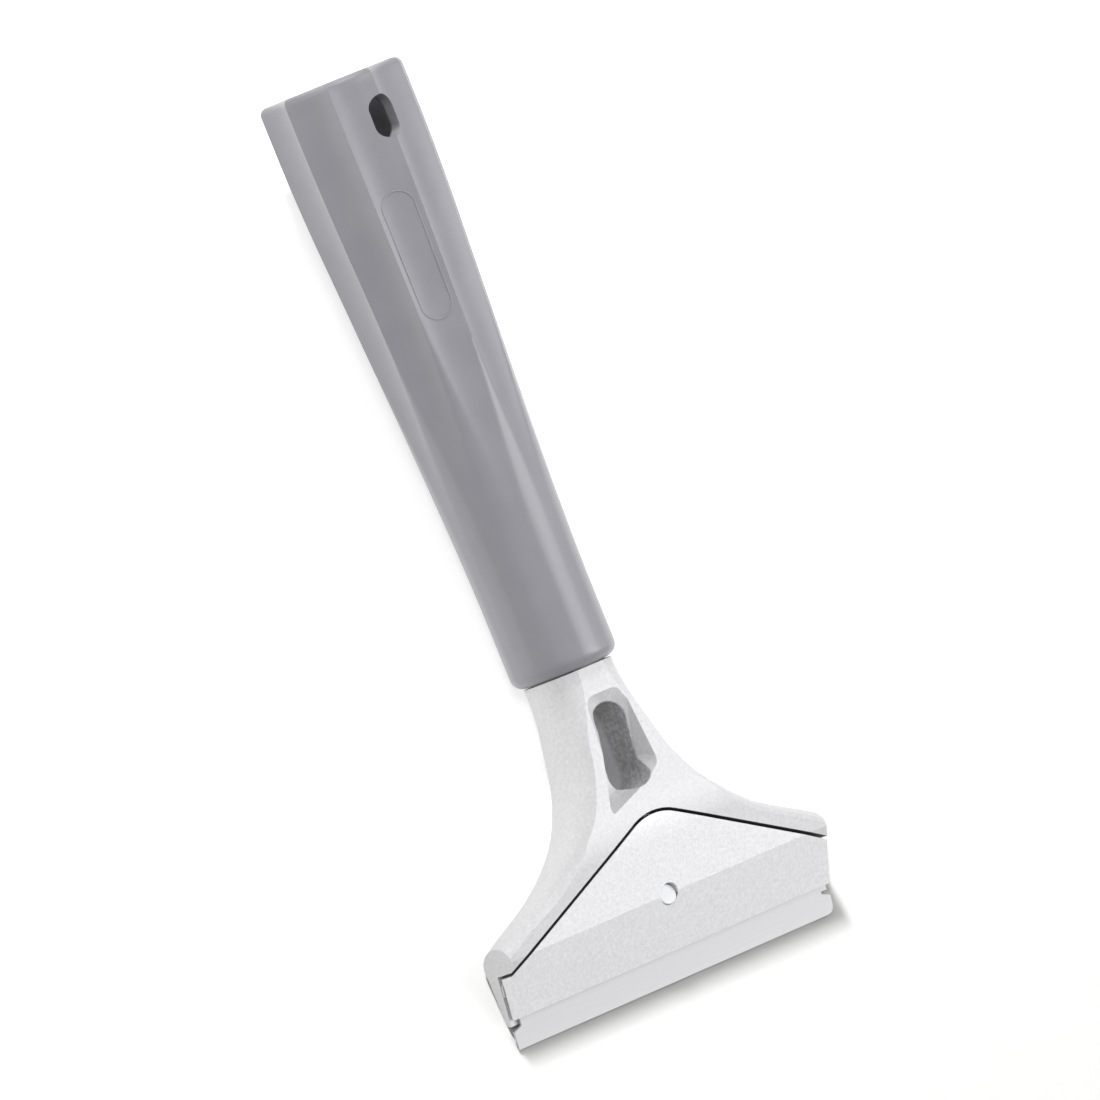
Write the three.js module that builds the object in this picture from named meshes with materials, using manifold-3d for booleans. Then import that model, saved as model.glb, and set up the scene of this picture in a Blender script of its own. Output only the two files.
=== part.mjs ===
// Short-handled scraper: a hollow fluted plastic handle on the spigot of a die-cast aluminium head.
// A roof-shaped plate, drawn down by one screw from the back, clamps a reversible steel blade in the jaw.
// Working axes: x along the blade, y along the handle towards its open end, z out of the front face.
// y = 0 is the mouth of the handle, and a drop is a distance below it, towards the blade. Millimetres.

import * as THREE from 'three';
import { mergeVertices } from 'three/addons/utils/BufferGeometryUtils.js';
import Module from 'manifold-3d';

// Clearances between pieces
const seatGap = 0.3;
const bladeGap = 0.25;
const plateEdgeGap = 0.8;

// Handle: a round body that swells towards its open end, with concave flutes
const handleLength = 155;
const mouthRadius = 13.8;
const endRadius = 19.3;
const taperStart = 18;
const taperEnd = 145;
const fluteCount = 10;
const fluteRadius = 30;
const fluteDepth = 1.45;
const fluteStart = 32;
const fluteFull = 112;
const ridgeBlend = 0.35;
const mouthRound = 3.2;
const endRound = 2;
const socketEndRadius = 13.8;
const socketFloorRadius = 11.8;
const partitionThickness = 5;
const hangSlotLength = 11;
const hangSlotWidth = 7;
const hangSlotFromEnd = 12.7;

// Head casting: spigot, neck, flared arms and back jaw
const bladeWidth = 100;
const spigotRadius = 9.5;
const spigotLength = 45;
const spigotGrooveCount = 4;
const spigotGrooveWidth = 3;
const spigotGrooveDepth = 0.6;
const neckRadius = 11.4;
const waistDrop = 12;
const waistHalfWidth = 12.1;
const kneeDrop = 25;
const kneeHalfWidth = 15;
const elbowDrop = 36.5;
const elbowHalfWidth = 21.8;
const armDrop = 46;
const armHalfWidth = 33;
const armTopDrop = 55;
const flankRound = 5.5;
const flankRoundDrop = 20;
const backDepth = 7;
const backFlatDrop = 45;
const neckFlatHeight = 10.7;
const crestDrop = 39.5;
const crestHeight = 12.4;
const crestBlend = 6;
const ridgeDrop = 59.3;
const ridgeHeight = 5.4;
const jawAngle = THREE.MathUtils.degToRad(12);
const lipDrop = 74.3;
const lipRound = 1.6;
const lipThickness = 2;

// Window in the neck: a ramped pocket with sloping walls, and a slot through its floor
const windowTopDrop = 7.3;
const windowTopHalfWidth = 5;
const windowRightHalfWidth = 7.4;
const windowRightDrop = 28.5;
const windowLeftHalfWidth = 11.4;
const windowLeftDrop = 36.6;
const windowWallRun = 2.4;
const windowFloorTopHeight = 9.4;
const windowFloorHeight = 5.6;
const windowCornerRound = 2.4;
const windowSlotTopDrop = 9.8;
const windowSlotLength = 22.4;
const windowSlotWidth = 9.6;

// Clamp plate: two flat ends, two slanted edges and a round apex
const plateBottomDrop = 73;
const plateEdgeHeight = -2.4;
const plateCornerDrop = 62.6;
const plateSlant = THREE.MathUtils.degToRad(26.4);
const plateApexRound = 14;
const plateEndInset = 0.2;

// Blade
const bladeHeight = 18;
const bladeThickness = 0.7;
const bladeReach = 7.2;
const bladeEdgeThickness = 0.15;
const bladeBevel = 2.7;
const bladeCornerRound = 2.6;
const bladeNotchDepth = 2.4;
const bladeNotchHeight = 7;
const bladeNotchSlant = 1;

// Clamp screw and its washer
const screwRadius = 2.35;
const screwHeadRadius = 4.2;
const screwHeadHeight = 2;
const screwHeadSunk = 0.2;
const screwEndRecess = 1.2;
const screwSocketRadius = 2.2;
const screwSocketDepth = 1.3;
const washerRadius = 4.6;
const washerThickness = 0.6;

// Screw and washer that hold the head in the handle
const handleScrewRadius = 1.9;
const handleScrewLength = 22;
const handleScrewHeadRadius = 4;
const handleScrewHeadHeight = 3;
const handleScrewSocketDepth = 1.8;
const handleScrewHoleSpare = 2;
const handleWasherRadius = 7;
const handleWasherThickness = 1;

// Facets round a turned piece, along one flute, along a rounded edge, and how far a cutter overshoots
const turnSegments = 40;
const fluteSegments = 6;
const roundSegments = 4;
const past = 1;

const wasm = await Module();
wasm.setup();

// A closed three.js geometry as a solid for cutting and joining.
function solid(geometry) {
  const bare = geometry.clone();
  bare.deleteAttribute('normal');
  bare.deleteAttribute('uv');
  const merged = mergeVertices(bare, 1e-5);
  return new wasm.Manifold(new wasm.Mesh({
    numProp: 3,
    vertProperties: new Float32Array(merged.attributes.position.array),
    triVerts: new Uint32Array(merged.index.array),
  }));
}

// A finished solid as a named mesh.
function piece(name, body, material) {
  const cut = body.getMesh();
  const geometry = new THREE.BufferGeometry();
  geometry.setAttribute('position', new THREE.BufferAttribute(cut.vertProperties, 3));
  geometry.setIndex(new THREE.BufferAttribute(cut.triVerts, 1));
  geometry.computeVertexNormals();
  const mesh = new THREE.Mesh(geometry, material);
  mesh.name = name;
  return mesh;
}

// A shape in the plane of the front face, extruded along z between two heights.
function frontSlab(shape, low, high) {
  const slab = new THREE.ExtrudeGeometry(shape, { depth: high - low, bevelEnabled: false, curveSegments: 8 });
  return slab.translate(0, 0, low);
}

// A shape drawn in side view, y across and z up, extruded along x to both sides.
function sideSlab(shape, halfWidth) {
  const slab = new THREE.ExtrudeGeometry(shape, { depth: 2 * halfWidth, bevelEnabled: false, curveSegments: 8 });
  const across = new THREE.Vector3(0, 1, 0);
  const up = new THREE.Vector3(0, 0, 1);
  const along = new THREE.Vector3(1, 0, 0);
  slab.applyMatrix4(new THREE.Matrix4().makeBasis(across, up, along));
  return slab.translate(-halfWidth, 0, 0);
}

// A body turned about the handle's axis, from [radius, y] pairs.
function turned(profile) {
  return new THREE.LatheGeometry(profile.map(([radius, y]) => new THREE.Vector2(radius, y)), turnSegments);
}

// A body turned about the clamp screw's axis, from [radius, z] pairs.
function turnedOnScrew(profile) {
  return turned(profile).rotateX(Math.PI / 2).translate(0, -ridgeDrop, 0);
}

// A plain round rod or hole as a turned profile.
function rod(radius, low, high) {
  return [[0, low], [radius, low], [radius, high], [0, high]];
}

// A flat washer as a turned profile.
function ring(inner, outer, low, high) {
  return [[inner, low], [outer, low], [outer, high], [inner, high], [inner, low]];
}

// A body skinned over rings of equal count, lowest y first, each ring running from the front towards +x.
function skinned(rings) {
  const count = rings[0].length;
  const last = (rings.length - 1) * count;
  const index = [];
  for (let low = 0; low < last; low += count) {
    for (let column = 0; column < count; column += 1) {
      const next = (column + 1) % count;
      index.push(low + column, low + next, low + count + next);
      index.push(low + column, low + count + next, low + count + column);
    }
  }
  for (let column = 1; column + 1 < count; column += 1) {
    index.push(0, column + 1, column);
    index.push(last, last + column, last + column + 1);
  }
  const positions = rings.flat().flatMap((point) => point.toArray());
  const geometry = new THREE.BufferGeometry();
  geometry.setAttribute('position', new THREE.Float32BufferAttribute(positions, 3));
  geometry.setIndex(index);
  return geometry;
}

// A slot with round ends, long in y.
function slotShape(centreY, width, length) {
  const radius = width / 2;
  const reach = length / 2 - radius;
  const shape = new THREE.Shape();
  shape.absarc(0, centreY + reach, radius, 0, Math.PI, false);
  shape.absarc(0, centreY - reach, radius, Math.PI, 2 * Math.PI, false);
  return shape;
}

const ease = THREE.MathUtils.smoothstep;

// Outer radius of the handle at an angle from the front: the round body, cut by flutes that meet in soft ridges.
// A flute is an arc about a point outside the handle, and deepens from its run-out near the mouth.
function handleRadius(angle, y) {
  const body = mouthRadius + (endRadius - mouthRadius) * ease(y, taperStart, taperEnd);
  const pitch = 2 * Math.PI / fluteCount;
  const fromMiddle = THREE.MathUtils.euclideanModulo(angle, pitch) - pitch / 2;
  const arcCentre = body - fluteDepth * ease(y, fluteStart, fluteFull) + fluteRadius;
  const across = arcCentre * Math.sin(fromMiddle);
  const flute = arcCentre * Math.cos(fromMiddle) - Math.sqrt(fluteRadius ** 2 - across ** 2);
  const blend = Math.max(1 - Math.abs(body - flute) / ridgeBlend, 0);
  return Math.min(body, flute) - ridgeBlend * blend ** 2 / 4;
}

// One ring of the handle's outside, drawn in where its ends are rounded.
function handleRing(y, inset) {
  const count = fluteCount * fluteSegments;
  return Array.from({ length: count }, (_, step) => {
    const angle = 2 * Math.PI * step / count;
    const radius = handleRadius(angle, y) - inset;
    return new THREE.Vector3(radius * Math.sin(angle), y, radius * Math.cos(angle));
  });
}

const handleBoreEnd = spigotLength + seatGap;
const socketFloor = handleBoreEnd + partitionThickness;

// The handle, with a socket from its open end, a bore for the spigot and a hang slot through both walls.
function makeHandle() {
  const bodyRings = 26;
  const bodyLength = handleLength - mouthRound - endRound;
  const rings = [];
  for (let step = 0; step < roundSegments; step += 1) {
    const turn = Math.PI / 2 * step / roundSegments;
    rings.push(handleRing(mouthRound * (1 - Math.cos(turn)), mouthRound * (1 - Math.sin(turn))));
  }
  for (let step = 0; step < bodyRings; step += 1) {
    rings.push(handleRing(mouthRound + bodyLength * step / bodyRings, 0));
  }
  for (let step = 0; step <= roundSegments; step += 1) {
    const turn = Math.PI / 2 * step / roundSegments;
    rings.push(handleRing(handleLength - endRound * (1 - Math.sin(turn)), endRound * (1 - Math.cos(turn))));
  }
  const socket = turned([
    [0, socketFloor],
    [socketFloorRadius, socketFloor],
    [socketEndRadius, handleLength],
    [socketEndRadius, handleLength + past],
    [0, handleLength + past],
  ]);
  const bore = turned(rod(spigotRadius + seatGap, -past, handleBoreEnd));
  const screwHole = turned(rod(handleScrewRadius + seatGap, spigotLength, socketFloor + past));
  const slot = slotShape(handleLength - hangSlotFromEnd, hangSlotWidth, hangSlotLength);
  return solid(skinned(rings))
    .subtract(solid(socket))
    .subtract(solid(bore))
    .subtract(solid(screwHole))
    .subtract(solid(frontSlab(slot, -endRadius - past, endRadius + past)));
}

// Slopes of the front face: up the neck to the crest, down the roof to the ridge, and down to the plate's edge.
// The back rises straight from the collar to its flat.
const neckSlope = (crestHeight - neckFlatHeight) / crestDrop;
const roofSlope = (crestHeight - ridgeHeight) / (ridgeDrop - crestDrop);
const eaveSlope = (ridgeHeight - plateEdgeHeight) / (plateBottomDrop - ridgeDrop);
const backSlope = (neckFlatHeight - backDepth) / backFlatDrop;

// Height of the front face at a drop, with a sharp crest.
function frontHeight(drop) {
  const neck = neckFlatHeight + neckSlope * drop;
  const roof = crestHeight - roofSlope * (drop - crestDrop);
  return Math.min(neck, roof);
}

// Depth of the back below the handle's axis at a drop.
function backHeight(drop) {
  return Math.max(neckFlatHeight - backSlope * drop, backDepth);
}

// The front face in side view, from above the mouth down to a drop below the ridge.
function traceFront(shape, bottomDrop) {
  shape.moveTo(past, frontHeight(-past));
  shape.lineTo(crestBlend - crestDrop, frontHeight(crestDrop - crestBlend));
  shape.quadraticCurveTo(-crestDrop, crestHeight, -crestDrop - crestBlend, frontHeight(crestDrop + crestBlend));
  shape.lineTo(-ridgeDrop, ridgeHeight);
  shape.lineTo(-bottomDrop, ridgeHeight - eaveSlope * (bottomDrop - ridgeDrop));
}

// One ring of the head: a round collar that grows squarer down the neck, crowned where its flats are cut.
// The flank's round is stretched along x where the arms flare, so that it stays round across the arm.
function headRing(drop, halfWidth, flare) {
  const crown = neckRadius - neckFlatHeight;
  const top = frontHeight(drop) + crown;
  const bottom = -backHeight(drop) - crown;
  const middle = (top + bottom) / 2;
  const halfThickness = (top - bottom) / 2;
  const narrowestFlat = 0.4;
  const round = THREE.MathUtils.lerp(neckRadius, flankRound, ease(drop, 0, flankRoundDrop));
  const reach = Math.min(round * Math.hypot(1, flare), halfWidth - narrowestFlat);
  const flankSegments = 10;
  const points = [];
  for (const side of [1, -1]) {
    for (let step = 0; step <= flankSegments; step += 1) {
      const turn = side * Math.PI * (1 / 2 - step / flankSegments);
      const x = side * (halfWidth - reach + reach * Math.cos(turn));
      points.push(new THREE.Vector3(x, -drop, middle + halfThickness * Math.sin(turn)));
    }
  }
  return points;
}

// The plate's outline, grown on every side but its bottom for the recess that it lies in.
const plateHalfWidth = bladeWidth / 2 - plateEndInset;
const plateVirtualApexDrop = plateCornerDrop - plateHalfWidth * Math.tan(plateSlant);
function plateOutline(halfWidth, bottomDrop, grow) {
  const cornerDrop = plateVirtualApexDrop + halfWidth * Math.tan(plateSlant) - grow / Math.cos(plateSlant);
  const arcDrop = plateVirtualApexDrop + plateApexRound / Math.cos(plateSlant);
  const upright = Math.PI / 2;
  const shape = new THREE.Shape();
  shape.moveTo(halfWidth, -bottomDrop);
  shape.lineTo(halfWidth, -cornerDrop);
  shape.absarc(0, -arcDrop, plateApexRound + grow, upright - plateSlant, upright + plateSlant, false);
  shape.lineTo(-halfWidth, -cornerDrop);
  shape.lineTo(-halfWidth, -bottomDrop);
  return shape;
}

// The jaw's face carries the blade: its own frame starts level with the plate's bottom edge,
// with y up the jaw, tilted from the back of the head, and z out of its face.
const jawFrame = new THREE.Matrix4()
  .makeTranslation(0, -plateBottomDrop, lipThickness - backDepth)
  .multiply(new THREE.Matrix4().makeRotationX(jawAngle));
function jawBlock(halfWidth, low, high, near, far) {
  const block = new THREE.BoxGeometry(2 * halfWidth, high - low, far - near);
  return block.translate(0, (low + high) / 2, (near + far) / 2).applyMatrix4(jawFrame);
}

// Far enough to cover the whole head from any place on it.
const headSpan = lipDrop + bladeWidth;

// A closed loop through corners given anticlockwise from the front, each corner rounded.
function roundedLoop(corners, radius) {
  return corners.flatMap((corner, place) => {
    const before = corners[(place + corners.length - 1) % corners.length];
    const after = corners[(place + 1) % corners.length];
    const start = corner.clone().add(before.clone().sub(corner).setLength(radius));
    const end = corner.clone().add(after.clone().sub(corner).setLength(radius));
    return new THREE.QuadraticBezierCurve3(start, corner, end).getPoints(roundSegments);
  });
}

// The window's pocket: from its rim, carried past the front face along the slope of its walls, to its ramped floor.
function windowPocket() {
  const rim = [
    [windowTopHalfWidth, windowTopDrop],
    [-windowTopHalfWidth, windowTopDrop],
    [-windowLeftHalfWidth, windowLeftDrop],
    [windowRightHalfWidth, windowRightDrop],
  ];
  const centreDrop = (windowTopDrop + (windowRightDrop + windowLeftDrop) / 2) / 2;
  const overshoot = 0.5;
  const low = [];
  const high = [];
  for (const [x, drop] of rim) {
    const rimPoint = new THREE.Vector3(x, -drop, frontHeight(drop));
    const ramp = (drop - windowTopDrop) / (windowLeftDrop - windowTopDrop);
    const floorHeight = THREE.MathUtils.lerp(windowFloorTopHeight, windowFloorHeight, ramp);
    const inward = new THREE.Vector3(Math.sign(-x), Math.sign(drop - centreDrop), 0);
    const floorPoint = rimPoint.clone().addScaledVector(inward, windowWallRun).setZ(floorHeight);
    low.push(floorPoint);
    high.push(rimPoint.clone().lerp(floorPoint, -overshoot));
  }
  return skinned([roundedLoop(low, windowCornerRound), roundedLoop(high, windowCornerRound)]);
}

// Places along the clamp screw's axis, from the back of the head to the screw's end
const screwHeadBack = screwHeadSunk - backDepth;
const screwHeadFront = screwHeadBack + screwHeadHeight;
const washerBack = screwHeadFront + seatGap;
const washerFront = washerBack + washerThickness;
const counterboreFloor = washerFront + seatGap;
const screwEnd = ridgeHeight - screwEndRecess;

// Places of the handle screw along the handle's axis
const handleWasherLow = socketFloor + seatGap;
const handleWasherHigh = handleWasherLow + handleWasherThickness;
const handleScrewHeadLow = handleWasherHigh + seatGap;
const handleScrewHeadHigh = handleScrewHeadLow + handleScrewHeadHeight;
const handleScrewTip = handleScrewHeadLow - handleScrewLength;

// The spigot inside the handle, with grooves that grip the plastic.
function spigotProfile() {
  const pitch = spigotLength / (spigotGrooveCount + 1);
  const grooveRadius = spigotRadius - spigotGrooveDepth;
  const profile = [[0, -seatGap - past], [spigotRadius, -seatGap - past]];
  for (let groove = 1; groove <= spigotGrooveCount; groove += 1) {
    const low = groove * pitch - spigotGrooveWidth / 2;
    const high = low + spigotGrooveWidth;
    profile.push([spigotRadius, low], [grooveRadius, low], [grooveRadius, high], [spigotRadius, high]);
  }
  profile.push([spigotRadius, spigotLength], [0, spigotLength]);
  return profile;
}

// The head: flanks skinned down the flare, the front face and lip cut in side view, then its recess, window and holes.
function makeHead() {
  const lastSlope = (bladeWidth / 2 - armHalfWidth) / (armTopDrop - armDrop);
  const flare = new THREE.SplineCurve([
    new THREE.Vector2(seatGap, neckRadius),
    new THREE.Vector2(waistDrop, waistHalfWidth),
    new THREE.Vector2(kneeDrop, kneeHalfWidth),
    new THREE.Vector2(elbowDrop, elbowHalfWidth),
    new THREE.Vector2(armDrop, armHalfWidth),
    new THREE.Vector2(armTopDrop, bladeWidth / 2),
    new THREE.Vector2(lipDrop + past, bladeWidth / 2 + lastSlope * (lipDrop + past - armTopDrop)),
  ]);
  const flareSegments = 40;
  const rings = [];
  for (let step = flareSegments; step >= 0; step -= 1) {
    const point = flare.getPoint(step / flareSegments);
    const tangent = flare.getTangent(step / flareSegments);
    rings.push(headRing(point.x, point.y, tangent.y / tangent.x));
  }
  const side = new THREE.Shape();
  traceFront(side, lipDrop);
  side.lineTo(-lipDrop, lipRound - backDepth);
  side.quadraticCurveTo(-lipDrop, -backDepth, lipRound - lipDrop, -backDepth);
  side.lineTo(-backFlatDrop, -backDepth);
  side.lineTo(past, -backHeight(-past));
  const recess = solid(frontSlab(plateOutline(headSpan, headSpan, plateEdgeGap), -headSpan, headSpan))
    .intersect(solid(jawBlock(headSpan, -headSpan, headSpan, 0, headSpan)));
  const slotCentre = -windowSlotTopDrop - windowSlotLength / 2;
  const slot = frontSlab(slotShape(slotCentre, windowSlotWidth, windowSlotLength), -headSpan, headSpan);
  const screwHole = turnedOnScrew(rod(screwRadius + seatGap, -headSpan, headSpan));
  const counterbore = turnedOnScrew(rod(washerRadius + seatGap, -headSpan, counterboreFloor));
  const tapping = turned(rod(handleScrewRadius + seatGap, handleScrewTip - handleScrewHoleSpare, spigotLength + past));
  return solid(skinned(rings))
    .intersect(solid(sideSlab(side, bladeWidth / 2)))
    .add(solid(turned(spigotProfile())))
    .subtract(recess)
    .subtract(solid(windowPocket()))
    .subtract(solid(slot))
    .subtract(solid(screwHole))
    .subtract(solid(counterbore))
    .subtract(solid(tapping));
}

// The clamp plate: its outline under the roof of the front face, standing on its heel above the blade's rebate.
const bladeTop = bladeHeight - bladeReach;
function makePlate() {
  const side = new THREE.Shape();
  traceFront(side, plateBottomDrop);
  side.lineTo(-plateBottomDrop, -headSpan);
  side.lineTo(past, -headSpan);
  const bladeRoom = bladeGap + bladeThickness + bladeGap;
  return solid(frontSlab(plateOutline(plateHalfWidth, plateBottomDrop, 0), -headSpan, headSpan))
    .intersect(solid(sideSlab(side, bladeWidth)))
    .subtract(solid(jawBlock(bladeWidth, -headSpan, headSpan, -headSpan, seatGap)))
    .subtract(solid(jawBlock(bladeWidth, -headSpan, bladeTop + seatGap, -headSpan, bladeRoom)))
    .subtract(solid(turnedOnScrew(rod(screwRadius + seatGap, -headSpan, headSpan))));
}

// The blade: a strip ground on the back of both long edges, with two round corners and a notch in each end.
// Turned end for end it shows the same outline.
function makeBlade() {
  const half = bladeWidth / 2;
  const bottom = -bladeReach;
  const top = bladeTop;
  const middle = (bottom + top) / 2;
  const notchIn = bladeNotchHeight / 2;
  const notchOut = notchIn + bladeNotchSlant;
  const round = bladeCornerRound;
  const outline = new THREE.Shape();
  outline.moveTo(-half, bottom);
  for (const side of [1, -1]) {
    const near = side > 0 ? bottom : top;
    const far = side > 0 ? top : bottom;
    outline.lineTo(side * (half - round), near);
    outline.quadraticCurveTo(side * half, near, side * half, near + side * round);
    outline.lineTo(side * half, middle - side * notchOut);
    outline.lineTo(side * (half - bladeNotchDepth), middle - side * notchIn);
    outline.lineTo(side * (half - bladeNotchDepth), middle + side * notchIn);
    outline.lineTo(side * half, middle + side * notchOut);
    outline.lineTo(side * half, far);
  }
  const section = new THREE.Shape();
  section.moveTo(bottom + bladeBevel, 0);
  section.lineTo(top - bladeBevel, 0);
  section.lineTo(top, bladeThickness - bladeEdgeThickness);
  section.lineTo(top, bladeThickness);
  section.lineTo(bottom, bladeThickness);
  section.lineTo(bottom, bladeThickness - bladeEdgeThickness);
  const strip = sideSlab(section, bladeWidth);
  const blank = frontSlab(outline, -past, bladeThickness + past);
  const seat = jawFrame.clone().multiply(new THREE.Matrix4().makeTranslation(0, 0, bladeGap));
  return solid(strip.applyMatrix4(seat)).intersect(solid(blank.applyMatrix4(seat)));
}

// The clamp screw: a low round head with a six-sided socket, sunk in the back of the head.
function makeClampScrew() {
  const body = turnedOnScrew([
    [0, screwHeadBack],
    [screwHeadRadius, screwHeadBack],
    [screwHeadRadius, screwHeadFront],
    [screwRadius, screwHeadFront],
    [screwRadius, screwEnd],
    [0, screwEnd],
  ]);
  const socket = new THREE.CylinderGeometry(screwSocketRadius, screwSocketRadius, 2 * screwSocketDepth, 6);
  socket.rotateX(Math.PI / 2).translate(0, -ridgeDrop, screwHeadBack);
  return solid(body).subtract(solid(socket));
}

// The screw in the bottom of the handle's socket, driven into the end of the spigot.
function makeHandleScrew() {
  const body = turned([
    [0, handleScrewTip],
    [handleScrewRadius, handleScrewTip + handleScrewRadius],
    [handleScrewRadius, handleScrewHeadLow],
    [handleScrewHeadRadius, handleScrewHeadLow],
    [handleScrewHeadRadius, handleScrewHeadHigh],
    [0, handleScrewHeadHigh],
  ]);
  const socket = new THREE.CylinderGeometry(screwSocketRadius, screwSocketRadius, 2 * handleScrewSocketDepth, 6);
  socket.translate(0, handleScrewHeadHigh, 0);
  return solid(body).subtract(solid(socket));
}

// Finishes
const greyPlastic = new THREE.MeshStandardMaterial({ color: 0x8f8e94, roughness: 0.45, metalness: 0 });
const castAluminium = new THREE.MeshStandardMaterial({ color: 0xd2d3d5, roughness: 0.42, metalness: 0.85 });
const plateAluminium = new THREE.MeshStandardMaterial({ color: 0xd6d7d9, roughness: 0.4, metalness: 0.85 });
const bladeSteel = new THREE.MeshStandardMaterial({ color: 0xc4c6c9, roughness: 0.28, metalness: 1 });
const zincSteel = new THREE.MeshStandardMaterial({ color: 0xbfc1c4, roughness: 0.35, metalness: 1 });

const clampWasher = turnedOnScrew(ring(screwRadius + seatGap, washerRadius, washerBack, washerFront));
const handleWasher = turned(
  ring(handleScrewRadius + seatGap, handleWasherRadius, handleWasherLow, handleWasherHigh),
);

const tool = new THREE.Group();
tool.add(
  piece('handle_grip', makeHandle(), greyPlastic),
  piece('scraper_head', makeHead(), castAluminium),
  piece('clamp_plate', makePlate(), plateAluminium),
  piece('scraper_blade', makeBlade(), bladeSteel),
  piece('clamp_screw', makeClampScrew(), zincSteel),
  piece('clamp_washer', solid(clampWasher), zincSteel.clone()),
  piece('handle_screw', makeHandleScrew(), zincSteel.clone()),
  piece('handle_washer', solid(handleWasher), zincSteel.clone()),
);

// The tool lies on its back, on the lip of the head and the ridge along the back of the handle.
// It leans by the steepest line from the lip to that ridge, and the origin is below its middle.
function restLean() {
  const places = 200;
  const leans = Array.from({ length: places + 1 }, (_, step) => {
    const y = THREE.MathUtils.lerp(mouthRound, handleLength - endRound, step / places);
    return Math.atan2(handleRadius(Math.PI, y) - backDepth, y + lipDrop - lipRound);
  });
  return Math.max(...leans);
}
tool.rotation.x = restLean();
tool.updateMatrixWorld(true);
const extent = new THREE.Box3().setFromObject(tool, true);
const middle = extent.getCenter(new THREE.Vector3());
tool.position.set(-middle.x, -middle.y, -extent.min.z);

const scraper = new THREE.Group();
scraper.add(tool);

export default scraper;
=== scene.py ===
import math

import bpy
import bmesh
import numpy as np
from mathutils import Matrix, Vector


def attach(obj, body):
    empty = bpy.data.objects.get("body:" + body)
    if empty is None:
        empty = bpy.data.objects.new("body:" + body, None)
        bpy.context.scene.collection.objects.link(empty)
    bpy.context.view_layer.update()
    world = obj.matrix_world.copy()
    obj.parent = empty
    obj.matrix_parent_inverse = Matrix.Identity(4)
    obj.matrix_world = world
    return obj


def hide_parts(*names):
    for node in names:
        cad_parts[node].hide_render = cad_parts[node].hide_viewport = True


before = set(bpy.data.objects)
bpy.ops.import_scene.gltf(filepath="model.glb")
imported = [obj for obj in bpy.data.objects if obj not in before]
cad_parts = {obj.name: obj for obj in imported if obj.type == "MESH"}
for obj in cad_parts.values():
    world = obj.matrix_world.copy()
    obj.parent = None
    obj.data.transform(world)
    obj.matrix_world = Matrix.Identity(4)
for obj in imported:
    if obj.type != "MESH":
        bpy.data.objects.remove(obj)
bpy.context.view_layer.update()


# Handle grip: a hollow injection-moulded sleeve of grey plastic, pressed over the head's spigot.
# Ten concave flutes meet in soft ridges and run out towards the round mouth; its far end is open.
# A hang slot with a softly broken rim goes through both walls near that end.
lean = math.radians(5.11955)
across = Vector((1.0, 0.0, 0.0))
along = Vector((0.0, math.cos(lean), math.sin(lean)))
front = Vector((0.0, -math.sin(lean), math.cos(lean)))
mouth = Vector((0.0, -0.038249, 0.013468))

grip_length = 0.155
mouth_radius = 0.0138
grip_swell = 0.0055
swell_start = 0.018
swell_end = 0.145
flute_count = 10
flute_start = 0.032
flute_full = 0.112
flute_arc = 0.018
flute_depth = 0.00199
ridge_blend = 0.00035
mouth_round = 0.0032
end_round = 0.002


def in_row(x, y, z):
    """Row-frame points from the tool's own axes: mouth + x * across + y * along + z * front."""
    return (np.array(mouth) + np.multiply.outer(x, np.array(across))
            + np.multiply.outer(y, np.array(along)) + np.multiply.outer(z, np.array(front)))


def smooth_step(value, low, high):
    """3 t^2 - 2 t^3, with t the place of value between low and high, from 0 to 1."""
    t = np.clip((value - low) / (high - low), 0.0, 1.0)
    return t * t * (3.0 - 2.0 * t)


def grip_radius(angle, y):
    """Radius of the grip: the lesser of a round body that swells along y and a flute's arc, blended softly.
    A flute's arc lies about a point outside the body, on the flute's middle line, and deepens along y."""
    body = mouth_radius + grip_swell * smooth_step(y, swell_start, swell_end)
    pitch = 2.0 * math.pi / flute_count
    middle = np.mod(angle, pitch) - pitch / 2.0
    centre = body - flute_depth * smooth_step(y, flute_start, flute_full) + flute_arc
    flute = centre * np.cos(middle) - np.sqrt(flute_arc ** 2 - (centre * np.sin(middle)) ** 2)
    blend = np.maximum(1.0 - np.abs(body - flute) / ridge_blend, 0.0)
    return np.minimum(body, flute) - ridge_blend * blend ** 2 / 4.0


def grid_mesh(name, points):
    """Quads between neighbouring points of a grid of rows and columns, joined round both ways."""
    rows, columns = points.shape[:2]
    here = np.arange(rows * columns).reshape(rows, columns)
    over = np.roll(here, -1, axis=1)
    corner = np.roll(over, -1, axis=0)
    down = np.roll(here, -1, axis=0)
    faces = np.stack([here, over, corner, down], axis=-1).reshape(-1, 4)
    mesh = bpy.data.meshes.new(name)
    mesh.from_pydata(points.reshape(-1, 3).tolist(), [], faces.tolist())
    mesh.validate()
    return mesh


grip_angles = np.linspace(0.0, 2.0 * math.pi, 260, endpoint=False)
turn = np.linspace(0.0, math.pi / 2.0, 9)
straight_y = np.linspace(mouth_round, grip_length - end_round, 118)[1:-1]
grip_y = np.concatenate([
    mouth_round * (1.0 - np.cos(turn)), straight_y, grip_length - end_round * (1.0 - np.sin(turn)),
])
grip_inset = np.concatenate([
    mouth_round * (1.0 - np.sin(turn)), np.zeros(len(straight_y)), end_round * (1.0 - np.cos(turn)),
])
outside = grip_radius(grip_angles[None, :], grip_y[:, None]) - grip_inset[:, None]

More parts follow.
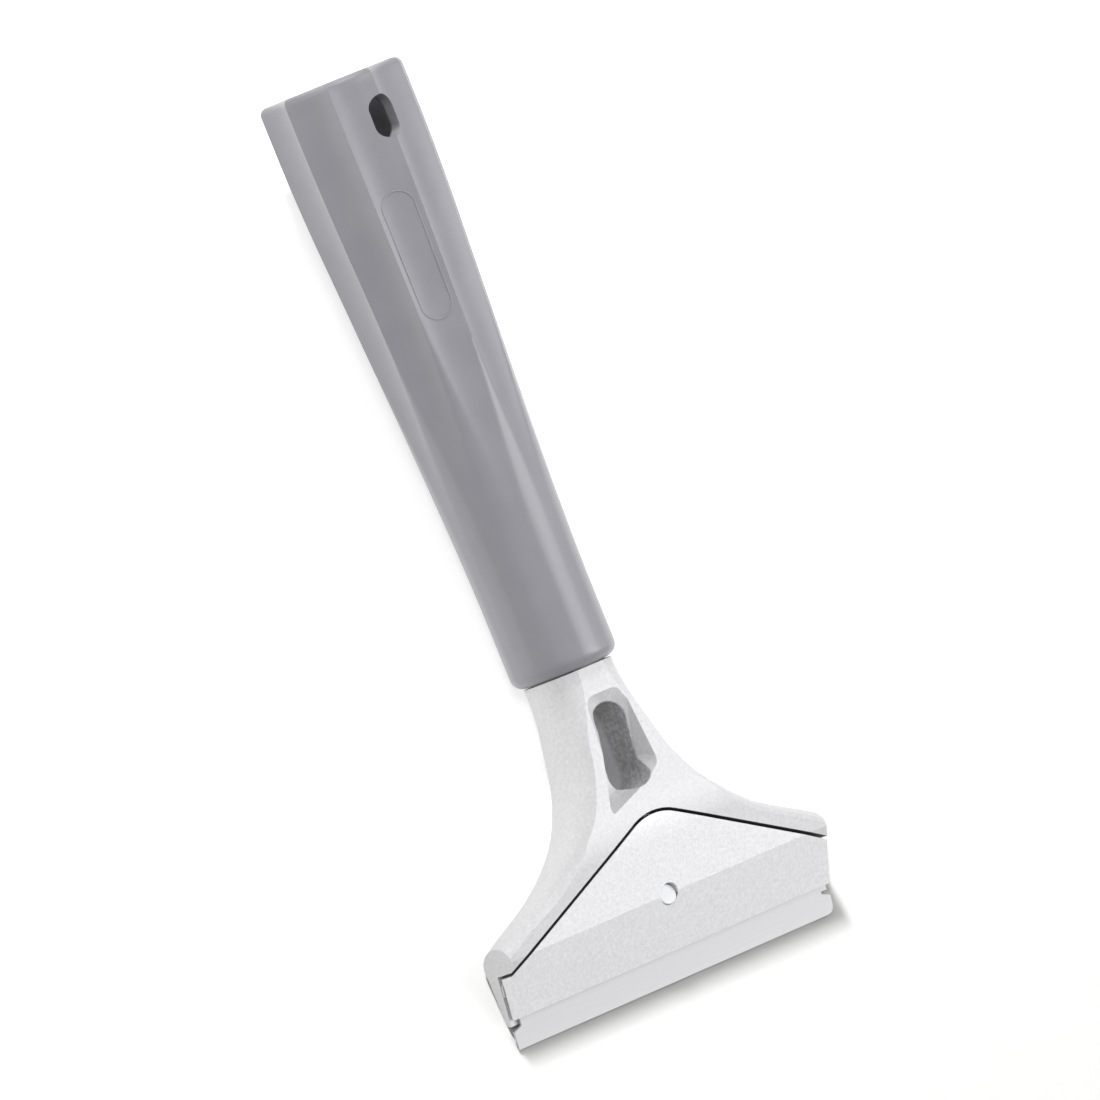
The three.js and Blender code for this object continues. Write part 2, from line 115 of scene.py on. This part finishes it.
# The bore, from the rim down to its floor, then the screw's hole in that floor and the room for the spigot.
bore_y = np.array([0.155, 0.1546, 0.1542, 0.130, 0.100, 0.075, 0.0507, 0.0503])
bore_radius = np.array([0.0142, 0.01391, 0.01379, 0.01332, 0.01275, 0.01227, 0.0118, 0.0114])
below_y = np.array([0.0503, 0.0453, 0.0453, 0.0])
below_radius = np.array([0.0022, 0.0022, 0.0098, 0.0098])
inside = np.repeat(np.concatenate([bore_radius, below_radius])[:, None], len(grip_angles), axis=1)
grip_profile_y = np.concatenate([grip_y, bore_y, below_y])
grip_profile_r = np.concatenate([outside, inside])
grip_points = in_row(
    grip_profile_r * np.sin(grip_angles)[None, :],
    np.repeat(grip_profile_y[:, None], len(grip_angles), axis=1),
    grip_profile_r * np.cos(grip_angles)[None, :],
)
grip = bpy.data.objects.new("grip", grid_mesh("grip", grip_points))
bpy.context.collection.objects.link(grip)

hang_slot_middle = 0.1423
hang_slot_half_width = 0.0035
hang_slot_straight = 0.002
hang_slot_reach = 0.022
slot_steps = 48
slot_turn = np.linspace(0.0, 2.0 * math.pi, slot_steps, endpoint=False)
slot_x = hang_slot_half_width * np.cos(slot_turn)
slot_y = (hang_slot_middle + hang_slot_half_width * np.sin(slot_turn)
          + hang_slot_straight * np.sign(np.sin(slot_turn + 1e-6)))
slot_back = in_row(slot_x, slot_y, np.full(slot_steps, -hang_slot_reach))
slot_front = in_row(slot_x, slot_y, np.full(slot_steps, hang_slot_reach))
slot_here = np.arange(slot_steps)
slot_next = np.roll(slot_here, -1)
slot_sides = np.stack([slot_here, slot_next, slot_next + slot_steps, slot_here + slot_steps], axis=-1)
slot_caps = [slot_here[::-1].tolist(), (slot_here + slot_steps).tolist()]
cutter_mesh = bpy.data.meshes.new("slot_cutter")
cutter_mesh.from_pydata(np.concatenate([slot_back, slot_front]).tolist(), [], slot_sides.tolist() + slot_caps)
cutter = bpy.data.objects.new("slot_cutter", cutter_mesh)
bpy.context.collection.objects.link(cutter)
cut = grip.modifiers.new("hang slot", "BOOLEAN")
cut.object = cutter
cut.operation = "DIFFERENCE"
cut.solver = "EXACT"
bpy.context.view_layer.update()
cut_mesh = bpy.data.meshes.new_from_object(grip.evaluated_get(bpy.context.evaluated_depsgraph_get()))
grip.modifiers.remove(cut)
grip.data = cut_mesh
bpy.data.objects.remove(cutter)
grip.data.polygons.foreach_set("use_smooth", np.ones(len(grip.data.polygons), dtype=bool))
grip.data.set_sharp_from_angle(angle=math.radians(35.0))
grip_edge = grip.modifiers.new("broken edges", "BEVEL")
grip_edge.width = 0.0004
grip_edge.segments = 3
grip_edge.limit_method = "ANGLE"
grip_edge.angle_limit = math.radians(50.0)

# The plastic is slightly mottled, satin and finely grained. Painted shade darkens its colour to near black on
# the walls of the bore, which are the points near the axis and above the bore's floor.
bore_mask_inside = 0.0138
bore_mask_outside = 0.0141
bore_mask_start = 0.058
bore_mask_full = 0.062
plastic = bpy.data.materials.new("grip_plastic")
plastic.use_nodes = True
nodes, links = plastic.node_tree.nodes, plastic.node_tree.links
shader = nodes["Principled BSDF"]
place = nodes.new("ShaderNodeTexCoord")
mottle = nodes.new("ShaderNodeTexNoise")
mottle.inputs["Scale"].default_value = 90.0
mottle.inputs["Detail"].default_value = 4.0
links.new(place.outputs["Object"], mottle.inputs["Vector"])
tint = nodes.new("ShaderNodeValToRGB")
tint.color_ramp.elements[0].position = 0.3
tint.color_ramp.elements[0].color = (0.235, 0.231, 0.255, 1.0)
tint.color_ramp.elements[1].position = 0.7
tint.color_ramp.elements[1].color = (0.251, 0.247, 0.271, 1.0)
links.new(mottle.outputs["Fac"], tint.inputs["Fac"])
local = nodes.new("ShaderNodeVectorMath")
local.operation = "SUBTRACT"
local.inputs[1].default_value = mouth
links.new(place.outputs["Object"], local.inputs[0])
reach = nodes.new("ShaderNodeVectorMath")
reach.operation = "DOT_PRODUCT"
reach.inputs[1].default_value = along
links.new(local.outputs["Vector"], reach.inputs[0])
turn_away = nodes.new("ShaderNodeVectorMath")
turn_away.operation = "CROSS_PRODUCT"
turn_away.inputs[1].default_value = along
links.new(local.outputs["Vector"], turn_away.inputs[0])
from_axis = nodes.new("ShaderNodeVectorMath")
from_axis.operation = "LENGTH"
links.new(turn_away.outputs["Vector"], from_axis.inputs[0])
inner = nodes.new("ShaderNodeMapRange")
inner.inputs["From Min"].default_value = bore_mask_inside
inner.inputs["From Max"].default_value = bore_mask_outside
inner.inputs["To Min"].default_value = 0.75
inner.inputs["To Max"].default_value = 0.0
links.new(from_axis.outputs["Value"], inner.inputs["Value"])
above = nodes.new("ShaderNodeMapRange")
above.inputs["From Min"].default_value = bore_mask_start
above.inputs["From Max"].default_value = bore_mask_full
links.new(reach.outputs["Value"], above.inputs["Value"])
bore = nodes.new("ShaderNodeMath")
bore.operation = "MULTIPLY"
links.new(inner.outputs["Result"], bore.inputs[0])
links.new(above.outputs["Result"], bore.inputs[1])
# Painted shade: the bore's walls are mixed towards near black.
painted_bore_shade = nodes.new("ShaderNodeMix")
painted_bore_shade.data_type = "RGBA"
links.new(bore.outputs["Value"], painted_bore_shade.inputs["Factor"])
links.new(tint.outputs["Color"], painted_bore_shade.inputs[6])
painted_bore_shade.inputs[7].default_value = (0.03, 0.03, 0.033, 1.0)
links.new(painted_bore_shade.outputs[2], shader.inputs["Base Color"])
gloss = nodes.new("ShaderNodeMapRange")
gloss.inputs["To Min"].default_value = 0.34
gloss.inputs["To Max"].default_value = 0.42
links.new(mottle.outputs["Fac"], gloss.inputs["Value"])
links.new(gloss.outputs["Result"], shader.inputs["Roughness"])
spark = nodes.new("ShaderNodeTexNoise")
spark.inputs["Scale"].default_value = 2600.0
spark.inputs["Detail"].default_value = 2.0
links.new(place.outputs["Object"], spark.inputs["Vector"])
grain = nodes.new("ShaderNodeBump")
grain.inputs["Strength"].default_value = 0.06
grain.inputs["Distance"].default_value = 0.0001
links.new(spark.outputs["Fac"], grain.inputs["Height"])
links.new(grain.outputs["Normal"], shader.inputs["Normal"])
grip.data.materials.clear()
grip.data.materials.append(plastic)
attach(grip, "head_and_handle")
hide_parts("handle_grip")


# Pill on the grip: a thin raised line in one flute, moulded with the grip round a bare field.
# It is a fine bead of elliptic section, half sunk in the plastic, and follows the flute's hollow.
pill_middle_y = 0.108
pill_angle_middle = math.radians(-18.0)
pill_straight = 0.0125
pill_end_radius = 0.0040
bead_half_width = 0.00022
bead_half_height = 0.00014
flute_floor_radius = 0.0168
pill_turn = np.linspace(0.0, 2.0 * math.pi, 160, endpoint=False)
bead_turn = np.linspace(0.0, 2.0 * math.pi, 10, endpoint=False)
pill_half_width = pill_end_radius + bead_half_width * np.cos(bead_turn)
pill_across = np.multiply.outer(np.cos(pill_turn), pill_half_width)
pill_along = (np.multiply.outer(np.sin(pill_turn), pill_half_width)
              + pill_straight * np.sign(np.sin(pill_turn + 1e-6))[:, None])
pill_y = pill_middle_y + pill_along
pill_angle = pill_angle_middle + pill_across / flute_floor_radius
pill_radius = grip_radius(pill_angle, pill_y) + bead_half_height * np.sin(bead_turn)[None, :]
pill_points = in_row(pill_radius * np.sin(pill_angle), pill_y, pill_radius * np.cos(pill_angle))
pill = bpy.data.objects.new("grip_pill", grid_mesh("grip_pill", pill_points))
bpy.context.collection.objects.link(pill)
pill.data.polygons.foreach_set("use_smooth", np.ones(len(pill.data.polygons), dtype=bool))
pill.data.materials.append(plastic)
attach(pill, "head_and_handle")


# Head: a die-cast aluminium T with a round neck, a window through it and a jaw for the blade.
# It is tumbled after casting, so its edges are soft, the neck's two shoulders are well rounded, and its skin is
# finely grained. Painted shade darkens the walls of the gap beside the plate, and mottled painted shade the
# walls of the window's slot.
def softened(node, name, width, sharp_angle):
    """A merged copy of a CAD node with its sharp edges rounded by width."""
    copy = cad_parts[node].data.copy()
    copy.transform(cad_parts[node].matrix_world)
    work = bmesh.new()
    work.from_mesh(copy)
    bmesh.ops.remove_doubles(work, verts=work.verts, dist=1e-6)
    bmesh.ops.dissolve_limit(work, angle_limit=math.radians(0.4), verts=work.verts, edges=work.edges)
    work.to_mesh(copy)
    work.free()
    copy.polygons.foreach_set("use_smooth", np.ones(len(copy.polygons), dtype=bool))
    copy.set_sharp_from_angle(angle=sharp_angle)
    piece = bpy.data.objects.new(name, copy)
    bpy.context.collection.objects.link(piece)
    edge = piece.modifiers.new("softened edges", "BEVEL")
    edge.width = width
    edge.segments = 3
    edge.limit_method = "ANGLE"
    edge.angle_limit = sharp_angle
    return piece


gap_top_drop = 0.036
gap_bottom_drop = 0.066


# Faces marked here are given painted shade by the cast skin.
def mark_gap(piece, facing):
    """in_gap is 1 on the faces that stand upright along the gap between head and plate, and 0 elsewhere.
    Upright: less than 0.4 of the normal is along front. The head's look down the tool, the plate's up it."""
    normals = np.empty(3 * len(piece.data.polygons))
    centres = np.empty_like(normals)
    piece.data.polygons.foreach_get("normal", normals)
    piece.data.polygons.foreach_get("center", centres)
    normals = normals.reshape(-1, 3)
    drops = (np.array(mouth) - centres.reshape(-1, 3)) @ np.array(along)
    upright = np.abs(normals @ np.array(front)) < 0.4
    faces_gap = facing * (normals @ np.array(along)) > 0.15
    in_gap = upright & faces_gap & (drops > gap_top_drop) & (drops < gap_bottom_drop)
    mask = piece.data.attributes.new("in_gap", "FLOAT", "FACE")
    mask.data.foreach_set("value", in_gap.astype(np.float32))


head = softened("scraper_head", "head", 0.0004, math.radians(28.0))
mark_gap(head, -1.0)

# A shoulder is an edge of the neck between a face that looks to the front and one that looks outward.
shoulder_end_drop = 0.045
work = bmesh.new()
work.from_mesh(head.data)
shoulder = work.edges.layers.float.new("bevel_weight_edge")
for edge in work.edges:
    facing = sorted(edge.link_faces, key=lambda face: face.normal.dot(front))
    outward = math.copysign(1.0, edge.verts[0].co.x) * facing[0].normal.x
    drop = -along.dot((edge.verts[0].co + edge.verts[1].co) / 2.0 - mouth)
    if (facing[-1].normal.dot(front) > 0.9 and outward > 0.4 and edge.calc_face_angle() > math.radians(15.0)
            and 0.0 < drop < shoulder_end_drop):
        edge[shoulder] = 1.0
work.to_mesh(head.data)
work.free()
shoulders = head.modifiers.new("round shoulders", "BEVEL")
shoulders.width = 0.0016
shoulders.segments = 5
shoulders.limit_method = "WEIGHT"
head.modifiers.move(1, 0)
even = head.modifiers.new("even shading", "WEIGHTED_NORMAL")
even.keep_sharp = True
even.weight = 80

cast_skin = bpy.data.node_groups.new("cast_skin", "ShaderNodeTree")
cast_skin.interface.new_socket("Brightness", in_out="INPUT", socket_type="NodeSocketFloat")
cast_skin.interface.new_socket("Color", in_out="OUTPUT", socket_type="NodeSocketColor")
cast_skin.interface.new_socket("Roughness", in_out="OUTPUT", socket_type="NodeSocketFloat")
cast_skin.interface.new_socket("Normal", in_out="OUTPUT", socket_type="NodeSocketVector")
nodes, links = cast_skin.nodes, cast_skin.links
given = nodes.new("NodeGroupInput")
result = nodes.new("NodeGroupOutput")
place = nodes.new("ShaderNodeTexCoord")
speckle = nodes.new("ShaderNodeTexNoise")
speckle.inputs["Scale"].default_value = 1100.0
speckle.inputs["Detail"].default_value = 6.0
speckle.inputs["Roughness"].default_value = 0.7
links.new(place.outputs["Object"], speckle.inputs["Vector"])
tint = nodes.new("ShaderNodeValToRGB")
tint.color_ramp.elements[0].position = 0.3
tint.color_ramp.elements[0].color = (0.52, 0.52, 0.53, 1.0)
tint.color_ramp.elements[1].position = 0.7
tint.color_ramp.elements[1].color = (0.64, 0.64, 0.65, 1.0)
links.new(speckle.outputs["Fac"], tint.inputs["Fac"])
gap = nodes.new("ShaderNodeAttribute")
gap.attribute_name = "in_gap"
# Painted shade: faces marked in_gap are mixed towards a dark grey, standing in for the shade in the gap.
painted_gap_shade = nodes.new("ShaderNodeMix")
painted_gap_shade.data_type = "RGBA"
links.new(gap.outputs["Fac"], painted_gap_shade.inputs["Factor"])
links.new(tint.outputs["Color"], painted_gap_shade.inputs[6])
painted_gap_shade.inputs[7].default_value = (0.16, 0.16, 0.16, 1.0)
brighter = nodes.new("ShaderNodeVectorMath")
brighter.operation = "SCALE"
links.new(painted_gap_shade.outputs[2], brighter.inputs[0])
links.new(given.outputs["Brightness"], brighter.inputs["Scale"])
links.new(brighter.outputs["Vector"], result.inputs["Color"])
gloss = nodes.new("ShaderNodeMapRange")
gloss.inputs["To Min"].default_value = 0.50
gloss.inputs["To Max"].default_value = 0.66
links.new(speckle.outputs["Fac"], gloss.inputs["Value"])
links.new(gloss.outputs["Result"], result.inputs["Roughness"])
peen = nodes.new("ShaderNodeTexNoise")
peen.inputs["Scale"].default_value = 1700.0
peen.inputs["Detail"].default_value = 3.0
links.new(place.outputs["Object"], peen.inputs["Vector"])
grain = nodes.new("ShaderNodeBump")
grain.inputs["Strength"].default_value = 0.22
grain.inputs["Distance"].default_value = 0.0002
links.new(peen.outputs["Fac"], grain.inputs["Height"])
links.new(grain.outputs["Normal"], result.inputs["Normal"])

casting = bpy.data.materials.new("head_casting")
casting.use_nodes = True
nodes, links = casting.node_tree.nodes, casting.node_tree.links
shader = nodes["Principled BSDF"]
shader.inputs["Metallic"].default_value = 0.3
skin = nodes.new("ShaderNodeGroup")
skin.node_tree = cast_skin
skin.inputs["Brightness"].default_value = 1.0
links.new(skin.outputs["Roughness"], shader.inputs["Roughness"])
links.new(skin.outputs["Normal"], shader.inputs["Normal"])

# Painted shade in the window's slot: a mask of how far a point lies from the slot's middle line, seen from the
# front, and how far towards the front it is, with a ragged border; the masked walls get a mottled dark grey.
window_slot_centre = -0.0210
window_slot_straight = 0.0064
window_slot_inside = 0.00488
window_slot_outside = 0.00505
place = nodes.new("ShaderNodeTexCoord")
local = nodes.new("ShaderNodeVectorMath")
local.operation = "SUBTRACT"
local.inputs[1].default_value = mouth
links.new(place.outputs["Object"], local.inputs[0])
split = nodes.new("ShaderNodeSeparateXYZ")
links.new(local.outputs["Vector"], split.inputs["Vector"])
reach = nodes.new("ShaderNodeVectorMath")
reach.operation = "DOT_PRODUCT"
reach.inputs[1].default_value = along
links.new(local.outputs["Vector"], reach.inputs[0])
offset = nodes.new("ShaderNodeMath")
offset.operation = "SUBTRACT"
offset.inputs[1].default_value = window_slot_centre
links.new(reach.outputs["Value"], offset.inputs[0])
size = nodes.new("ShaderNodeMath")
size.operation = "ABSOLUTE"
links.new(offset.outputs["Value"], size.inputs[0])
beyond = nodes.new("ShaderNodeMath")
beyond.operation = "SUBTRACT"
beyond.inputs[1].default_value = window_slot_straight
links.new(size.outputs["Value"], beyond.inputs[0])
past_end = nodes.new("ShaderNodeMath")
past_end.operation = "MAXIMUM"
past_end.inputs[1].default_value = 0.0
links.new(beyond.outputs["Value"], past_end.inputs[0])
flat_place = nodes.new("ShaderNodeCombineXYZ")
links.new(split.outputs["X"], flat_place.inputs["X"])
links.new(past_end.outputs["Value"], flat_place.inputs["Y"])
from_slot = nodes.new("ShaderNodeVectorMath")
from_slot.operation = "LENGTH"
links.new(flat_place.outputs["Vector"], from_slot.inputs[0])
in_slot = nodes.new("ShaderNodeMapRange")
in_slot.inputs["From Min"].default_value = window_slot_inside
in_slot.inputs["From Max"].default_value = window_slot_outside
in_slot.inputs["To Min"].default_value = 1.0
in_slot.inputs["To Max"].default_value = 0.0
links.new(from_slot.outputs["Value"], in_slot.inputs["Value"])
height = nodes.new("ShaderNodeVectorMath")
height.operation = "DOT_PRODUCT"
height.inputs[1].default_value = front
links.new(local.outputs["Vector"], height.inputs[0])
ragged = nodes.new("ShaderNodeTexNoise")
ragged.inputs["Scale"].default_value = 900.0
ragged.inputs["Detail"].default_value = 5.0
links.new(place.outputs["Object"], ragged.inputs["Vector"])
wander = nodes.new("ShaderNodeMath")
wander.operation = "MULTIPLY_ADD"
wander.inputs[1].default_value = 0.004
links.new(ragged.outputs["Fac"], wander.inputs[0])
links.new(height.outputs["Value"], wander.inputs[2])
near_front = nodes.new("ShaderNodeMapRange")
near_front.inputs["From Min"].default_value = -0.0010
near_front.inputs["From Max"].default_value = 0.0006
near_front.inputs["To Max"].default_value = 0.75
links.new(wander.outputs["Value"], near_front.inputs["Value"])
slot_shade_mask = nodes.new("ShaderNodeMath")
slot_shade_mask.operation = "MULTIPLY"
links.new(in_slot.outputs["Result"], slot_shade_mask.inputs[0])
links.new(near_front.outputs["Result"], slot_shade_mask.inputs[1])
# Painted shade: a mottled dark grey for the slot's walls near the front.
painted_slot_shade = nodes.new("ShaderNodeValToRGB")
painted_slot_shade.color_ramp.elements[0].position = 0.38
painted_slot_shade.color_ramp.elements[0].color = (0.24, 0.24, 0.245, 1.0)
painted_slot_shade.color_ramp.elements[1].position = 0.62
painted_slot_shade.color_ramp.elements[1].color = (0.46, 0.46, 0.47, 1.0)
links.new(ragged.outputs["Fac"], painted_slot_shade.inputs["Fac"])
blend = nodes.new("ShaderNodeMix")
blend.data_type = "RGBA"
links.new(slot_shade_mask.outputs["Value"], blend.inputs["Factor"])
links.new(skin.outputs["Color"], blend.inputs[6])
links.new(painted_slot_shade.outputs["Color"], blend.inputs[7])
links.new(blend.outputs[2], shader.inputs["Base Color"])
head.data.materials.clear()
head.data.materials.append(casting)
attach(head, "head_and_handle")
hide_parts("scraper_head")


# Clamp plate: a die-cast aluminium roof with two facets, lying in the head's recess over the blade.
# The screw behind it draws it down. It has the head's grained skin, painted brighter as a stand-in for light on
# its facets, and the same painted shade on the walls along the gap.
plate = softened("clamp_plate", "plate", 0.0003, math.radians(15.0))
mark_gap(plate, 1.0)
plate_casting = bpy.data.materials.new("plate_casting")
plate_casting.use_nodes = True
nodes, links = plate_casting.node_tree.nodes, plate_casting.node_tree.links
shader = nodes["Principled BSDF"]
shader.inputs["Metallic"].default_value = 0.3
skin = nodes.new("ShaderNodeGroup")
skin.node_tree = cast_skin
# Painted light: the plate's skin is brighter than the head's, standing in for the light on its facets.
skin.inputs["Brightness"].default_value = 1.22
links.new(skin.outputs["Color"], shader.inputs["Base Color"])
links.new(skin.outputs["Roughness"], shader.inputs["Roughness"])
links.new(skin.outputs["Normal"], shader.inputs["Normal"])
plate.data.materials.clear()
plate.data.materials.append(plate_casting)
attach(plate, "plate")
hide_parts("clamp_plate")


# Blade: a strip of spring steel, cut to length with notched ends and ground on both long edges.
# It lies in the jaw under the plate. The grinding leaves fine lines along it.
blade = softened("scraper_blade", "blade", 0.00005, math.radians(20.0))
steel = bpy.data.materials.new("blade_steel")
steel.use_nodes = True
nodes, links = steel.node_tree.nodes, steel.node_tree.links
shader = nodes["Principled BSDF"]
shader.inputs["Metallic"].default_value = 0.35
place = nodes.new("ShaderNodeTexCoord")
stretch = nodes.new("ShaderNodeMapping")
stretch.inputs["Scale"].default_value = (12.0, 900.0, 900.0)
links.new(place.outputs["Object"], stretch.inputs["Vector"])
lines = nodes.new("ShaderNodeTexNoise")
lines.inputs["Scale"].default_value = 4.0
lines.inputs["Detail"].default_value = 4.0
links.new(stretch.outputs["Vector"], lines.inputs["Vector"])
tint = nodes.new("ShaderNodeValToRGB")
tint.color_ramp.elements[0].color = (0.46, 0.46, 0.47, 1.0)
tint.color_ramp.elements[1].color = (0.55, 0.55, 0.56, 1.0)
links.new(lines.outputs["Fac"], tint.inputs["Fac"])
links.new(tint.outputs["Color"], shader.inputs["Base Color"])
gloss = nodes.new("ShaderNodeMapRange")
gloss.inputs["To Min"].default_value = 0.50
gloss.inputs["To Max"].default_value = 0.62
links.new(lines.outputs["Fac"], gloss.inputs["Value"])
links.new(gloss.outputs["Result"], shader.inputs["Roughness"])
blade.data.materials.clear()
blade.data.materials.append(steel)
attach(blade, "blade")
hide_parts("scraper_blade")


# Clamp screw: a zinc-plated steel screw with a six-sided socket, entered from the back of the head.
# Its thread fills the hole in the plate, so its end is spread from the plain shank of the solid and lies nearly
# flush with the plate's face.
screw_drop = 0.0593
screw_end_height = 0.0041
thread_spread = 0.105
end_lift = 0.0004
clamp_screw = softened("clamp_screw", "clamp_screw_body", 0.00025, math.radians(40.0))
screw_points = np.empty(3 * len(clamp_screw.data.vertices))
clamp_screw.data.vertices.foreach_get("co", screw_points)
screw_points = screw_points.reshape(-1, 3)
screw_centre = np.array(mouth) - screw_drop * np.array(along)
screw_height = (screw_points - screw_centre) @ np.array(front)
from_screw_axis = screw_points - screw_centre - np.multiply.outer(screw_height, np.array(front))
at_end = (screw_height > screw_end_height)[:, None]
screw_points = screw_points + at_end * (thread_spread * from_screw_axis + end_lift * np.array(front))
clamp_screw.data.vertices.foreach_set("co", screw_points.ravel())
zinc = bpy.data.materials.new("fastener_steel")
zinc.use_nodes = True
nodes, links = zinc.node_tree.nodes, zinc.node_tree.links
shader = nodes["Principled BSDF"]
shader.inputs["Metallic"].default_value = 0.35
place = nodes.new("ShaderNodeTexCoord")
bloom = nodes.new("ShaderNodeTexNoise")
bloom.inputs["Scale"].default_value = 420.0
bloom.inputs["Detail"].default_value = 4.0
links.new(place.outputs["Object"], bloom.inputs["Vector"])
tint = nodes.new("ShaderNodeValToRGB")
tint.color_ramp.elements[0].color = (0.46, 0.465, 0.48, 1.0)
tint.color_ramp.elements[1].color = (0.56, 0.565, 0.575, 1.0)
links.new(bloom.outputs["Fac"], tint.inputs["Fac"])
links.new(tint.outputs["Color"], shader.inputs["Base Color"])
gloss = nodes.new("ShaderNodeMapRange")
gloss.inputs["To Min"].default_value = 0.42
gloss.inputs["To Max"].default_value = 0.55
links.new(bloom.outputs["Fac"], gloss.inputs["Value"])
links.new(gloss.outputs["Result"], shader.inputs["Roughness"])
clamp_screw.data.materials.clear()
clamp_screw.data.materials.append(zinc)
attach(clamp_screw, "screw")
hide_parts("clamp_screw")


# Washers and the screw in the handle's floor: plain zinc-plated steel hardware, mostly hidden.
# One washer lies under the clamp screw's head, the other under the self-tapping screw that holds the handle on.
for node, name in (("clamp_washer", "clamp_washer_ring"), ("handle_screw", "handle_screw_body"),
                   ("handle_washer", "handle_washer_ring")):
    fastener = softened(node, name, 0.0001, math.radians(40.0))
    fastener.data.materials.clear()
    fastener.data.materials.append(zinc)
    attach(fastener, "head_and_handle")
    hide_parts(node)


# Stage: a plain matt floor, which keeps the tool's soft shadow round the head.
# Behind the handle it also glows, for the camera and for glossy rays alone, so that it turns to white there.
floor_mesh = bpy.data.meshes.new("floor")
floor_mesh.from_pydata([(-4, -4, 0), (4, -4, 0), (4, 4, 0), (-4, 4, 0)], [], [(0, 1, 2, 3)])
floor = bpy.data.objects.new("floor", floor_mesh)
bpy.context.collection.objects.link(floor)
paper = bpy.data.materials.new("floor_paper")
paper.use_nodes = True
nodes, links = paper.node_tree.nodes, paper.node_tree.links
shader = nodes["Principled BSDF"]
shader.inputs["Base Color"].default_value = (0.31, 0.312, 0.306, 1.0)
shader.inputs["Roughness"].default_value = 0.9
shader.inputs["Specular IOR Level"].default_value = 0.0
shader.inputs["Emission Color"].default_value = (1.0, 1.0, 1.0, 1.0)
ray = nodes.new("ShaderNodeLightPath")
seen = nodes.new("ShaderNodeMath")
seen.operation = "MAXIMUM"
links.new(ray.outputs["Is Camera Ray"], seen.inputs[0])
links.new(ray.outputs["Is Glossy Ray"], seen.inputs[1])
place = nodes.new("ShaderNodeTexCoord")
split = nodes.new("ShaderNodeSeparateXYZ")
links.new(place.outputs["Object"], split.inputs["Vector"])
fade = nodes.new("ShaderNodeMapRange")
fade.interpolation_type = "SMOOTHSTEP"
fade.inputs["From Min"].default_value = -0.10
fade.inputs["From Max"].default_value = -0.05
fade.inputs["To Min"].default_value = 0.0
fade.inputs["To Max"].default_value = 0.75
links.new(split.outputs["Y"], fade.inputs["Value"])
glow = nodes.new("ShaderNodeMath")
glow.operation = "MULTIPLY"
links.new(seen.outputs["Value"], glow.inputs[0])
links.new(fade.outputs["Result"], glow.inputs[1])
links.new(glow.outputs["Value"], shader.inputs["Emission Strength"])
floor.data.materials.append(paper)


# Camera: a long lens, turned to the left of the tool's front and a little towards the handle's open end.
# It is rolled, and aimed so that the handle's mouth falls on one chosen pixel of the square picture.
turned = math.radians(33.0)
tipped = math.radians(1.2)
rolled = math.radians(22.0)
picture_pixels = 1100.0
pixels_per_metre = 4100.0
mouth_pixel_x = 567.0
mouth_pixel_y = 672.0
back = (-math.sin(turned) * math.cos(tipped) * across + math.sin(tipped) * along
        + math.cos(turned) * math.cos(tipped) * front)
level_up = (along - along.dot(back) * back).normalized()
level_right = level_up.cross(back)
right = math.cos(rolled) * level_right - math.sin(rolled) * level_up
up = math.sin(rolled) * level_right + math.cos(rolled) * level_up
camera_data = bpy.data.cameras.new("camera")
camera_data.sensor_width = 36.0
camera_data.lens = 600.0
camera_data.clip_end = 20.0
distance = camera_data.lens / camera_data.sensor_width * picture_pixels / pixels_per_metre
target = (mouth - (mouth_pixel_x - picture_pixels / 2.0) / pixels_per_metre * right
          + (mouth_pixel_y - picture_pixels / 2.0) / pixels_per_metre * up)
facing_tool = Matrix((right, up, back)).transposed().to_4x4()
camera = bpy.data.objects.new("camera", camera_data)
bpy.context.collection.objects.link(camera)
camera.matrix_world = Matrix.Translation(target + distance * back) @ facing_tool
bpy.context.scene.camera = camera


# Light: a broad white surround, a large soft key from the right, a strip above the handle's end and a low one on
# the left, a small lamp over the camera and a weak one below it.
# A last lamp, low behind the handle, lights the floor alone and gives the soft shadow along the blade's edge.
world = bpy.data.worlds.new("surround")
world.use_nodes = True
world.node_tree.nodes["Background"].inputs["Color"].default_value = (1.0, 1.0, 1.0, 1.0)
world.node_tree.nodes["Background"].inputs["Strength"].default_value = 0.36
bpy.context.scene.world = world
lamp_distance = 1.6


def softbox(name, direction, width, height, power):
    """A rectangular lamp at lamp_distance from the handle's mouth along direction, facing it."""
    data = bpy.data.lights.new(name, "AREA")
    data.shape = "RECTANGLE"
    data.size = width
    data.size_y = height
    data.energy = power
    lamp = bpy.data.objects.new(name, data)
    bpy.context.collection.objects.link(lamp)
    spot = Matrix.Translation(mouth + lamp_distance * direction.normalized())
    lamp.matrix_world = spot @ direction.to_track_quat("Z", "Y").to_matrix().to_4x4()
    return lamp


softbox("key", 0.92 * right + 0.15 * up + 0.28 * back, 0.6, 1.2, 18.0)
softbox("top", 0.95 * up + 0.28 * back, 0.8, 0.4, 12.0)
softbox("left", -0.75 * right + 0.10 * up + 0.60 * back, 0.6, 1.2, 5.0)
softbox("over", -0.05 * right + 0.30 * up + 0.95 * back, 0.25, 0.25, 7.0)
softbox("front", -0.25 * right - 0.60 * up + 0.75 * back, 1.0, 0.8, 1.8)
floor_light = softbox("floor_light", Vector((-0.10, 0.857, 0.515)), 0.16, 0.16, 105.0)
lit_floor = bpy.data.collections.new("lit_floor")
lit_floor.objects.link(floor)
floor_light.light_linking.receiver_collection = lit_floor

bpy.context.scene.view_settings.view_transform = "Standard"
